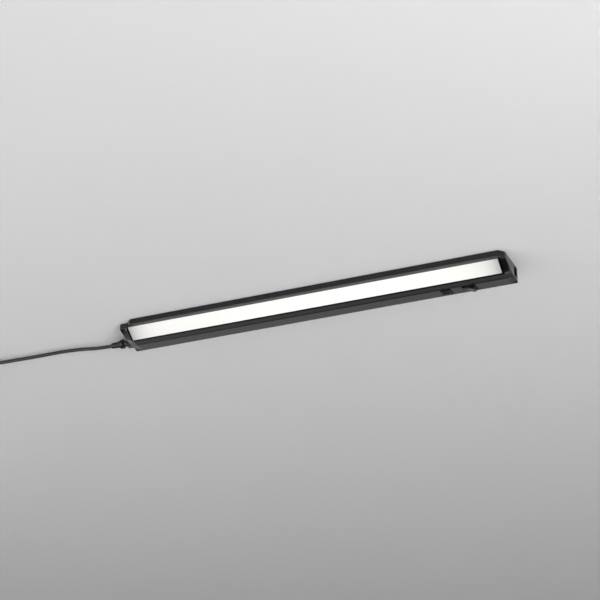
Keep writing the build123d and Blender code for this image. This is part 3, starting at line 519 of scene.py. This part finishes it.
def mark_outer_edges(mesh, sharp, smallest, spared):
    """Weights the convex edges that can be seen from outside, for the bevel, but not at spared corners."""
    work = bmesh.new()
    work.from_mesh(mesh)
    work.normal_update()
    tree = BVHTree.FromBMesh(work)
    layers = work.edges.layers.float
    layer = layers.get("bevel_weight_edge") or layers.new("bevel_weight_edge")
    for edge in work.edges:
        edge[layer] = 0.0
        if len(edge.link_faces) != 2 or edge.calc_length() < smallest:
            continue
        if any(vert.index in spared for vert in edge.verts):
            continue
        first, second = (face.normal for face in edge.link_faces)
        if first.angle(second, 0.0) < sharp or not edge.is_convex:
            continue
        away = (first + second).normalized()
        middle = (edge.verts[0].co + edge.verts[1].co) / 2
        if tree.ray_cast(middle + away * CLEAR_OF_SURFACE, away)[0] is None:
            edge[layer] = 1.0
    work.to_mesh(mesh)
    work.free()


def plain_mesh(obj):
    """Applies an object's modifiers and returns it with a plain mesh."""
    graph = bpy.context.evaluated_depsgraph_get()
    mesh = bpy.data.meshes.new_from_object(obj.evaluated_get(graph), depsgraph=graph)
    obj.modifiers.clear()
    obj.data = mesh
    mesh.name = obj.name
    return obj


def stray_corners(rounded, sharp_mesh, width):
    """The sharp mesh's corners from which the bevel threw a point off the surface."""
    surface = bmesh.new()
    surface.from_mesh(sharp_mesh)
    tree = BVHTree.FromBMesh(surface)
    surface.free()
    corners = KDTree(len(sharp_mesh.vertices))
    for vert in sharp_mesh.vertices:
        corners.insert(vert.co, vert.index)
    corners.balance()
    found = set()
    for vert in rounded.vertices:
        if tree.find_nearest(vert.co)[3] > width * STRAY_SHARE:
            found.update(index for _, index, _ in corners.find_n(vert.co, 3))
    return found


def rounded_piece(name, node, slot, width, body="lamp", segments=2, sharp=25.0, smallest=0.0004):
    """A CAD node with its outer edges rounded, where they turn by sharp degrees and are long enough."""
    mesh = merged_copy(node)
    spared = set()
    for _ in range(BEVEL_TRIES):
        mark_outer_edges(mesh, math.radians(sharp), smallest, spared)
        obj = new_object(name, mesh.copy())
        obj.data.shade_smooth()
        obj.data.set_sharp_from_angle(angle=SMOOTH_ANGLE)
        bevel = obj.modifiers.new("Rounding", "BEVEL")
        bevel.limit_method = "WEIGHT"
        bevel.width = width
        bevel.segments = segments
        bevel.use_clamp_overlap = False
        bevel.miter_outer = "MITER_ARC"
        flat = obj.modifiers.new("Flat faces", "WEIGHTED_NORMAL")
        flat.weight = 100
        flat.keep_sharp = True
        plain_mesh(obj)
        stray = stray_corners(obj.data, mesh, width)
        if not stray - spared:
            break
        spared |= stray
        bpy.data.objects.remove(obj)
    else:
        raise RuntimeError("the rounding of " + name + " throws points off its surface")
    return finish_piece(obj, slot, body, [node])


# ---- geometry node helpers ----
def geometry_tree(name, inputs):
    """A geometry node tree with named inputs, and its two end nodes."""
    tree = bpy.data.node_groups.new(name, "GeometryNodeTree")
    tree.interface.new_socket(name="Geometry", in_out="INPUT", socket_type="NodeSocketGeometry")
    for label, kind in inputs:
        tree.interface.new_socket(name=label, in_out="INPUT", socket_type=kind)
    tree.interface.new_socket(name="Geometry", in_out="OUTPUT", socket_type="NodeSocketGeometry")
    return tree, tree.nodes.new("NodeGroupInput"), tree.nodes.new("NodeGroupOutput")


def close_tree(tree, end, geometry, material_socket):
    """Every tree ends in real geometry with its material set."""
    real = tree.nodes.new("GeometryNodeRealizeInstances")
    tree.links.new(geometry, real.inputs[0])
    paint = tree.nodes.new("GeometryNodeSetMaterial")
    tree.links.new(real.outputs[0], paint.inputs["Geometry"])
    tree.links.new(material_socket, paint.inputs["Material"])
    tree.links.new(paint.outputs[0], end.inputs[0])


def grown(name, tree, values):
    """Runs a geometry node tree on an empty mesh and returns the plain result."""
    obj = new_object(name, bpy.data.meshes.new(name))
    modifier = obj.modifiers.new("Growth", "NODES")
    modifier.node_group = tree
    for item in tree.interface.items_tree:
        if item.item_type == "SOCKET" and item.in_out == "INPUT" and item.name in values:
            modifier[item.identifier] = values[item.name]
    obj.update_tag()
    bpy.context.view_layer.update()
    return plain_mesh(obj)


def ribbed_boot_tree():
    """A tapering boot with grooves cut round it at an even pitch."""
    tree, start, end = geometry_tree("Ribbed boot", [
        ("Start", "NodeSocketVector"), ("End", "NodeSocketVector"), ("Root Radius", "NodeSocketFloat"),
        ("Tip Radius", "NodeSocketFloat"), ("Grooves", "NodeSocketInt"), ("Groove Depth", "NodeSocketFloat"),
        ("Groove Share", "NodeSocketFloat"), ("Flange Share", "NodeSocketFloat"),
        ("Flange Radius", "NodeSocketFloat"), ("Material", "NodeSocketMaterial"),
    ])
    out = start.outputs
    line = add(tree, "GeometryNodeCurvePrimitiveLine", Start=out["Start"], End=out["End"])
    fine = add(tree, "GeometryNodeResampleCurve", Curve=line.outputs[0], Count=BOOT_STEPS)
    along = tree.nodes.new("GeometryNodeSplineParameter").outputs["Factor"]
    taper = add(tree, "ShaderNodeMapRange", Value=along)
    tree.links.new(out["Root Radius"], taper.inputs[3])
    tree.links.new(out["Tip Radius"], taper.inputs[4])
    steps = shader_math(tree, "ADD", out["Grooves"], 1.0)
    phase = shader_math(tree, "FRACT", shader_math(tree, "MULTIPLY", along, steps))
    from_groove = shader_math(tree, "MINIMUM", phase, shader_math(tree, "SUBTRACT", 1.0, phase))
    ends = shader_math(tree, "MINIMUM", along, shader_math(tree, "SUBTRACT", 1.0, along))
    inside = shader_math(tree, "GREATER_THAN", ends, shader_math(tree, "DIVIDE", 0.5, steps))
    half = shader_math(tree, "MULTIPLY", out["Groove Share"], 0.5)
    cut = add(tree, "ShaderNodeMapRange", {"interpolation_type": "SMOOTHSTEP"}, Value=from_groove)
    tree.links.new(half, cut.inputs[2])
    tree.links.new(shader_math(tree, "MULTIPLY", half, GROOVE_BOTTOM), cut.inputs[1])
    cut.inputs[3].default_value = 1.0
    cut.inputs[4].default_value = 0.0
    grooved = shader_math(tree, "MULTIPLY", cut.outputs[0], inside)
    sink = shader_math(tree, "MULTIPLY", grooved, out["Groove Depth"])
    radius = shader_math(tree, "SUBTRACT", taper.outputs[0], sink)
    in_flange = shader_math(tree, "LESS_THAN", along, out["Flange Share"])
    flange = shader_math(tree, "MULTIPLY", in_flange, out["Flange Radius"])
    radius = shader_math(tree, "MAXIMUM", radius, flange)
    sized = add(tree, "GeometryNodeSetCurveRadius", Curve=fine.outputs[0], Radius=radius)
    ring = add(tree, "GeometryNodeCurvePrimitiveCircle", Resolution=BOOT_SIDES, Radius=1.0)
    skin = add(
        tree, "GeometryNodeCurveToMesh", Curve=sized.outputs[0], Profile_Curve=ring.outputs[0], Fill_Caps=True
    )
    if "Scale" in skin.inputs:
        get_radius = tree.nodes.new("GeometryNodeInputRadius")
        tree.links.new(get_radius.outputs[0], skin.inputs["Scale"])
    smooth = add(tree, "GeometryNodeSetShadeSmooth", Geometry=skin.outputs[0])
    close_tree(tree, end, smooth.outputs[0], out["Material"])
    return tree


def led_row_tree():
    """Packages at an even pitch between two points, each with its raised phosphor window."""
    tree, start, end = geometry_tree("LED row", [
        ("First", "NodeSocketVector"), ("Last", "NodeSocketVector"), ("Count", "NodeSocketInt"),
        ("Package Size", "NodeSocketVector"), ("Window Radius", "NodeSocketFloat"),
        ("Tilt", "NodeSocketFloat"), ("Material", "NodeSocketMaterial"),
    ])
    out = start.outputs
    size = add(tree, "ShaderNodeSeparateXYZ", Vector=out["Package Size"])
    rim = shader_math(tree, "MULTIPLY", size.outputs[2], LED_CASE_SHARE)
    case_size = add(tree, "ShaderNodeCombineXYZ", X=size.outputs[0], Y=size.outputs[1], Z=rim)
    case = add(tree, "GeometryNodeMeshCube", Size=case_size.outputs[0])
    lift_height = shader_math(tree, "MULTIPLY", size.outputs[2], (1.0 - LED_CASE_SHARE) / 2)
    lift = add(tree, "ShaderNodeCombineXYZ", Z=lift_height)
    case_placed = add(tree, "GeometryNodeTransform", Geometry=case.outputs[0], Translation=lift.outputs[0])
    window = add(
        tree, "GeometryNodeMeshCylinder", Vertices=20, Radius=out["Window Radius"], Depth=size.outputs[2]
    )
    package = tree.nodes.new("GeometryNodeJoinGeometry")
    tree.links.new(case_placed.outputs[0], package.inputs[0])
    tree.links.new(window.outputs[0], package.inputs[0])
    line = add(tree, "GeometryNodeMeshLine", {"mode": "END_POINTS"}, Count=out["Count"])
    tree.links.new(out["First"], line.inputs["Start Location"])
    tree.links.new(out["Last"], line.inputs["Offset"])
    turn = add(tree, "ShaderNodeCombineXYZ", X=out["Tilt"])
    row = add(
        tree, "GeometryNodeInstanceOnPoints", Points=line.outputs[0], Instance=package.outputs[0],
        Rotation=turn.outputs[0],
    )
    close_tree(tree, end, row.outputs[0], out["Material"])
    return tree


def ribbed_boot(name, node, root, tip, tip_radius, flange=(0.0, 0.0)):
    """A strain relief from its root to its tip, with a flange of a length and radius at its root."""
    grooves = bpy.context.scene.batten_lead.boot_ribs
    boot = grown(name, ribbed_boot_tree(), {
        "Start": tuple(root), "End": tuple(tip), "Root Radius": BOOT_ROOT_RADIUS,
        "Tip Radius": tip_radius, "Grooves": grooves, "Groove Depth": GROOVE_DEPTH,
        "Groove Share": GROOVE_SHARE,
        "Flange Share": flange[0] / (root - tip).length, "Flange Radius": flange[1],
        "Material": MATERIALS["cord_black"],
    })
    return finish_piece(boot, "cord_black", nodes=[node])


# ---- pieces ----
class BATTEN_OT_camera(bpy.types.Operator):
    """Adds the camera that looks up at the batten from its front right"""

    bl_idname = "batten.camera"
    bl_label = "Camera"

    def execute(self, context):
        stage = context.scene.batten_stage
        data = bpy.data.cameras.new("Camera")
        data.sensor_width = 36.0
        data.lens = stage.focal_length
        data.clip_end = 100.0
        camera = new_object("Camera", data)
        camera.location = stage.camera_place
        camera.rotation_euler = stage.camera_turn
        context.scene.camera = camera
        return {"FINISHED"}


def hank_points():
    """The folded turns between the lead's route and its tail, outer turn first, then the lower layer."""
    high, low = HANK_LAYERS
    outer, inner = HANK_RADII
    c = HANK_CENTRE
    points = []

    def half_turn(side, first_y, second_y, height, next_height, count=ARC_STEPS + 1):
        """Round one end of the hank, from one run's line to another's."""
        radius = abs(first_y - second_y) / 2 * ARC_SWELL
        middle = (first_y + second_y) / 2
        sign = 1 if first_y > second_y else -1
        points.append((c.x + side * (HANK_HALF_RUN - HANK_RUN_IN), first_y, height))
        for number in range(count):
            share = number / ARC_STEPS
            angle = math.radians(90 - 180 * share)
            points.append((
                c.x + side * (HANK_HALF_RUN + radius * math.cos(angle)),
                middle + sign * radius * math.sin(angle),
                height + (next_height - height) * share,
            ))
        if count > ARC_STEPS:
            points.append((c.x + side * (HANK_HALF_RUN - HANK_RUN_IN), second_y, next_height))

    top, bottom = c.y + outer, c.y - outer
    top_in, bottom_in = c.y + inner, c.y - inner
    half_turn(-1, top, bottom, high, high)
    half_turn(1, bottom, top_in, high, high)
    half_turn(-1, top_in, bottom_in, high, high)
    half_turn(1, bottom_in, top_in, high, low)
    half_turn(-1, top_in, bottom_in, low, low)
    half_turn(1, bottom_in, top, low, low)
    half_turn(-1, top, bottom, low, low, count=4)
    along, across = outer * math.cos(TAIL_LEAVES_AT), outer * math.sin(TAIL_LEAVES_AT)
    points.append((c.x - HANK_HALF_RUN + along, c.y + across, low))
    return points


class BATTEN_OT_mains_lead(bpy.types.Operator):
    """Makes the mains lead as one smooth cord, with its put-away length folded in a hank"""

    bl_idname = "batten.mains_lead"
    bl_label = "Mains lead"

    def execute(self, context):
        lead = context.scene.batten_lead
        curve = bpy.data.curves.new("mains_lead", "CURVE")
        curve.dimensions = "3D"
        curve.resolution_u = 8
        curve.bevel_depth = lead.diameter / 2
        curve.bevel_resolution = 6
        curve.use_fill_caps = True
        spline = curve.splines.new("NURBS")
        route = LEAD_ROUTE + hank_points() + TAIL_ROUTE
        spline.points.add(len(route) - 1)
        for point, place in zip(spline.points, route):
            point.co = (*place, 1.0)
        spline.order_u = 3
        spline.use_endpoint_u = True
        cord = new_object("mains_lead", curve)
        finish_piece(cord, "cord_black", nodes=("mains_cord", "cord_hank", "cord_tail"))
        return {"FINISHED"}


class BATTEN_OT_plug(bpy.types.Operator):
    """Makes the flat two-pin plug with its ribbed strain relief"""

    bl_idname = "batten.plug"
    bl_label = "Plug"

    def execute(self, context):
        rounded_piece("plug_shell", "mains_plug", "cord_black", width=0.0006)
        tip = Vector(TAIL_ROUTE[-1])
        root = tip + Vector((PLUG_BOOT_LENGTH, 0.0, 0.0))
        ribbed_boot("plug_boot", "plug_strain_relief", root, tip, tip_radius=0.0034)
        set_material("plug_pins", "tinned")
        set_material("hank_base", "strap")
        rounded_piece("hank_tie", "hank_strap", "strap", width=0.00015)
        return {"FINISHED"}


class BATTEN_OT_housing(bpy.types.Operator):
    """Makes the long moulded housing with its switch openings and clip channel"""

    bl_idname = "batten.housing"
    bl_label = "Housing"

    def execute(self, context):
        width = context.scene.batten_finish.rounding
        rounded_piece("housing_shell", "housing", "body", width=width)
        return {"FINISHED"}


class BATTEN_OT_end_caps(bpy.types.Operator):
    """Makes the two end caps"""

    bl_idname = "batten.end_caps"
    bl_label = "End caps"

    def execute(self, context):
        width = context.scene.batten_finish.rounding
        rounded_piece("left_cap", "left_end_cap", "caps", width=width, sharp=32, smallest=0.003)
        rounded_piece("right_cap", "right_end_cap", "caps", width=width, sharp=28, smallest=0.002)
        return {"FINISHED"}


class BATTEN_OT_light_engine(bpy.types.Operator):
    """Makes the opal diffuser and the tray, board and LEDs behind it"""

    bl_idname = "batten.light_engine"
    bl_label = "Light engine"

    def execute(self, context):
        rounded_piece("opal_cover", "diffuser", "diffuser", width=0.0004)
        set_material("light_tray", "tray")
        set_material("led_board", "white_board")
        low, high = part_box("leds")
        middle = (low + high) / 2
        inset = LED_SIZE[0] / 2
        row = grown("led_row", led_row_tree(), {
            "First": (low.x + inset, middle.y, middle.z), "Last": (high.x - inset, middle.y, middle.z),
            "Count": context.scene.batten_finish.led_count, "Package Size": LED_SIZE,
            "Window Radius": LED_WINDOW_RADIUS, "Tilt": -LIGHT_ANGLE, "Material": MATERIALS["led"],
        })
        finish_piece(row, "led", nodes=["leds"])
        return {"FINISHED"}


class BATTEN_OT_driver(bpy.types.Operator):
    """Finishes the driver board, its components and the wiring"""

    bl_idname = "batten.driver"
    bl_label = "Driver"

    def execute(self, context):
        finishes = {
            "driver_board": "green_board", "input_terminal": "terminal", "output_terminal": "terminal",
            "fuse": "ceramic", "film_capacitor": "film_capacitor", "choke": "ferrite",
            "transformer_core": "ferrite", "transformer_winding": "winding",
            "electrolytic_capacitors": "capacitor_sleeve", "led_leads": "lead_insulation",
            "through_wires": "lead_insulation",
        }
        for node, key in finishes.items():
            set_material(node, key)
        return {"FINISHED"}


class BATTEN_OT_sockets(bpy.types.Operator):
    """Finishes the inlet and the linking outlet with their contacts"""

    bl_idname = "batten.sockets"
    bl_label = "Sockets"

    def execute(self, context):
        rounded_piece("outlet", "outlet_socket", "caps", width=0.0002)
        set_material("inlet_socket", "caps")
        set_material("outlet_contacts", "brass")
        set_material("inlet_pins", "tinned")
        return {"FINISHED"}


class BATTEN_OT_switches(bpy.types.Operator):
    """Makes the rocker switch and the slide selector"""

    bl_idname = "batten.switches"
    bl_label = "Switches"

    def execute(self, context):
        rounded_piece("rocker_case", "rocker_body", "switch", width=0.0002)
        rounded_piece("rocker", "rocker_paddle", "switch", width=0.0003, body="rocker", segments=3)
        rounded_piece("selector_case", "selector_body", "switch", width=0.0002)
        rounded_piece("selector_knob", "selector_slider", "knob", width=0.0003, body="selector")
        set_material("selector_base_plate", "switch")
        set_material("rocker_terminals", "brass")
        set_material("selector_terminals", "brass")
        return {"FINISHED"}


class BATTEN_OT_fixings(bpy.types.Operator):
    """Makes the sheet mounting clips and the end cap screws"""

    bl_idname = "batten.fixings"
    bl_label = "Clips and screws"

    def execute(self, context):
        set_material("mounting_clips", "steel")
        set_material("end_cap_screws", "steel")
        return {"FINISHED"}


class BATTEN_OT_connector(bpy.types.Operator):
    """Makes the lead's connector with its collar and ribbed strain relief"""

    bl_idname = "batten.connector"
    bl_label = "Lead connector"

    def execute(self, context):
        rounded_piece("connector", "lead_connector", "cord_black", width=0.0002, sharp=35)
        set_material("connector_contacts", "brass")
        tip = Vector(LEAD_ROUTE[0])
        root = tip + Vector((INLET_BOOT_LENGTH, 0.0, 0.0))
        ribbed_boot("inlet_boot", "strain_relief", root, tip, tip_radius=0.0040, flange=(0.0045, 0.0069))
        return {"FINISHED"}


# ---- stage ----
def one_sided_material(name):
    """A plain pale surface that can't be seen, and casts nothing, from its back."""
    material = bpy.data.materials.new(name)
    material.use_nodes = True
    tree = material.node_tree
    shader = tree.nodes["Principled BSDF"]
    shader.inputs["Base Color"].default_value = SHEET_COLOR
    shader.inputs["Roughness"].default_value = 0.9
    shader.inputs["Specular IOR Level"].default_value = 0.1
    clear = tree.nodes.new("ShaderNodeBsdfTransparent")
    side = tree.nodes.new("ShaderNodeNewGeometry")
    mix = tree.nodes.new("ShaderNodeMixShader")
    tree.links.new(side.outputs["Backfacing"], mix.inputs[0])
    tree.links.new(shader.outputs[0], mix.inputs[1])
    tree.links.new(clear.outputs[0], mix.inputs[2])
    tree.links.new(mix.outputs[0], tree.nodes["Material Output"].inputs[0])
    return material


def stage_plane(name, height, size, faces_down, opening=None):
    """A plain sheet, with an opening if two corners of one are given."""
    mesh = bpy.data.meshes.new(name)
    h = size / 2
    corners = [(-h, -h, height), (h, -h, height), (h, h, height), (-h, h, height)]
    faces = [(0, 1, 2, 3)]
    if opening:
        (left, front), (right, back) = opening
        corners += [(x, y, height) for x, y in ((left, front), (right, front), (right, back), (left, back))]
        faces = [(side, (side + 1) % 4, (side + 1) % 4 + 4, side + 4) for side in range(4)]
    if faces_down:
        faces = [face[::-1] for face in faces]
    mesh.from_pydata(corners, [], faces)
    obj = new_object(name, mesh)
    obj.data.materials.append(one_sided_material(name))
    return obj


def area_light(name, place, aim, size, power):
    """A white lamp that can't be seen itself, turned to what it aims at."""
    data = bpy.data.lights.new(name, "AREA")
    data.shape = "RECTANGLE"
    data.size, data.size_y = size
    data.energy = power
    obj = new_object(name, data)
    obj.location = place
    obj.visible_camera = False
    direction = Vector(aim) - Vector(place)
    obj.rotation_euler = direction.to_track_quat("-Z", "Y").to_euler()
    return obj


class BATTEN_OT_stage(bpy.types.Operator):
    """Adds the plain pale stage and the soft studio light"""

    bl_idname = "batten.stage"
    bl_label = "Stage"

    def execute(self, context):
        stage = context.scene.batten_stage
        low, high = HOUSING
        # The sheet is open behind the batten, so that light reaches the batten's top.
        opening = ((low.x + 0.014, low.y + 0.003), (high.x - 0.003, high.y - 0.001))
        stage_plane("cabinet_underside", CABINET_HEIGHT, CABINET_SIZE, True, opening)
        floor = stage_plane("floor", stage.floor_height, FLOOR_SIZE, False)
        floor.visible_glossy = False
        unlit = bpy.data.collections.new("Not lit by the lamps")
        unlit.objects.link(floor)
        unlit.collection_objects[0].light_linking.link_state = "EXCLUDE"
        for lamp in LAMPS:
            area_light(*lamp).light_linking.receiver_collection = unlit
        world = bpy.data.worlds.new("Studio")
        context.scene.world = world
        world.use_nodes = True
        tree = world.node_tree
        background = tree.nodes["Background"]
        direction = add(tree, "ShaderNodeTexCoord").outputs["Generated"]
        height = add(tree, "ShaderNodeSeparateXYZ", Vector=direction).outputs[2]
        ramp = add(tree, "ShaderNodeValToRGB", Fac=remap(tree, height, -1.0, 1.0))
        steps = ramp.color_ramp.elements
        for number, (level, light) in enumerate(ROOM_STEPS):
            step = steps[number] if number < len(steps) else steps.new(1.0)
            step.position = (level + 1.0) / 2
            step.color = (light, light, light, 1.0)
        tree.links.new(ramp.outputs[0], background.inputs["Color"])
        background.inputs["Strength"].default_value = stage.room_light
        context.scene.view_settings.view_transform = "Standard"
        return {"FINISHED"}


class BATTEN_PT_panel(bpy.types.Panel):
    """Lists the batten's settings and pieces"""

    bl_label = "LED batten"
    bl_idname = "BATTEN_PT_panel"
    bl_space_type = "VIEW_3D"
    bl_region_type = "UI"
    bl_category = "Batten"

    def draw(self, context):
        layout = self.layout
        for group in (context.scene.batten_finish, context.scene.batten_lead, context.scene.batten_stage):
            box = layout.box()
            for name in group.bl_rna.properties.keys():
                if name not in ("rna_type", "name"):
                    box.prop(group, name)
        for piece in PIECES:
            layout.operator(piece.bl_idname)


PIECES = (
    BATTEN_OT_camera, BATTEN_OT_plug, BATTEN_OT_mains_lead, BATTEN_OT_housing, BATTEN_OT_end_caps,
    BATTEN_OT_light_engine, BATTEN_OT_driver, BATTEN_OT_sockets, BATTEN_OT_switches, BATTEN_OT_fixings,
    BATTEN_OT_connector, BATTEN_OT_stage,
)
GROUP_CLASSES = (BattenFinish, BattenLead, BattenStage)


def register():
    for group in GROUP_CLASSES + PIECES + (BATTEN_PT_panel,):
        bpy.utils.register_class(group)
    bpy.types.Scene.batten_finish = bpy.props.PointerProperty(type=BattenFinish)
    bpy.types.Scene.batten_lead = bpy.props.PointerProperty(type=BattenLead)
    bpy.types.Scene.batten_stage = bpy.props.PointerProperty(type=BattenStage)


def unregister():
    for name in ("batten_finish", "batten_lead", "batten_stage"):
        delattr(bpy.types.Scene, name)
    for group in reversed(GROUP_CLASSES + PIECES + (BATTEN_PT_panel,)):
        bpy.utils.unregister_class(group)


def main():
    register()
    scene = bpy.context.scene
    make_materials(scene.batten_finish)
    scene["batten_plug_pieces"] = "plug_shell,plug_pins,plug_boot,hank_tie,hank_base"
    for piece in PIECES:
        group, action = piece.bl_idname.split(".")
        getattr(getattr(bpy.ops, group), action)()


if __name__ == "__main__":
    main()
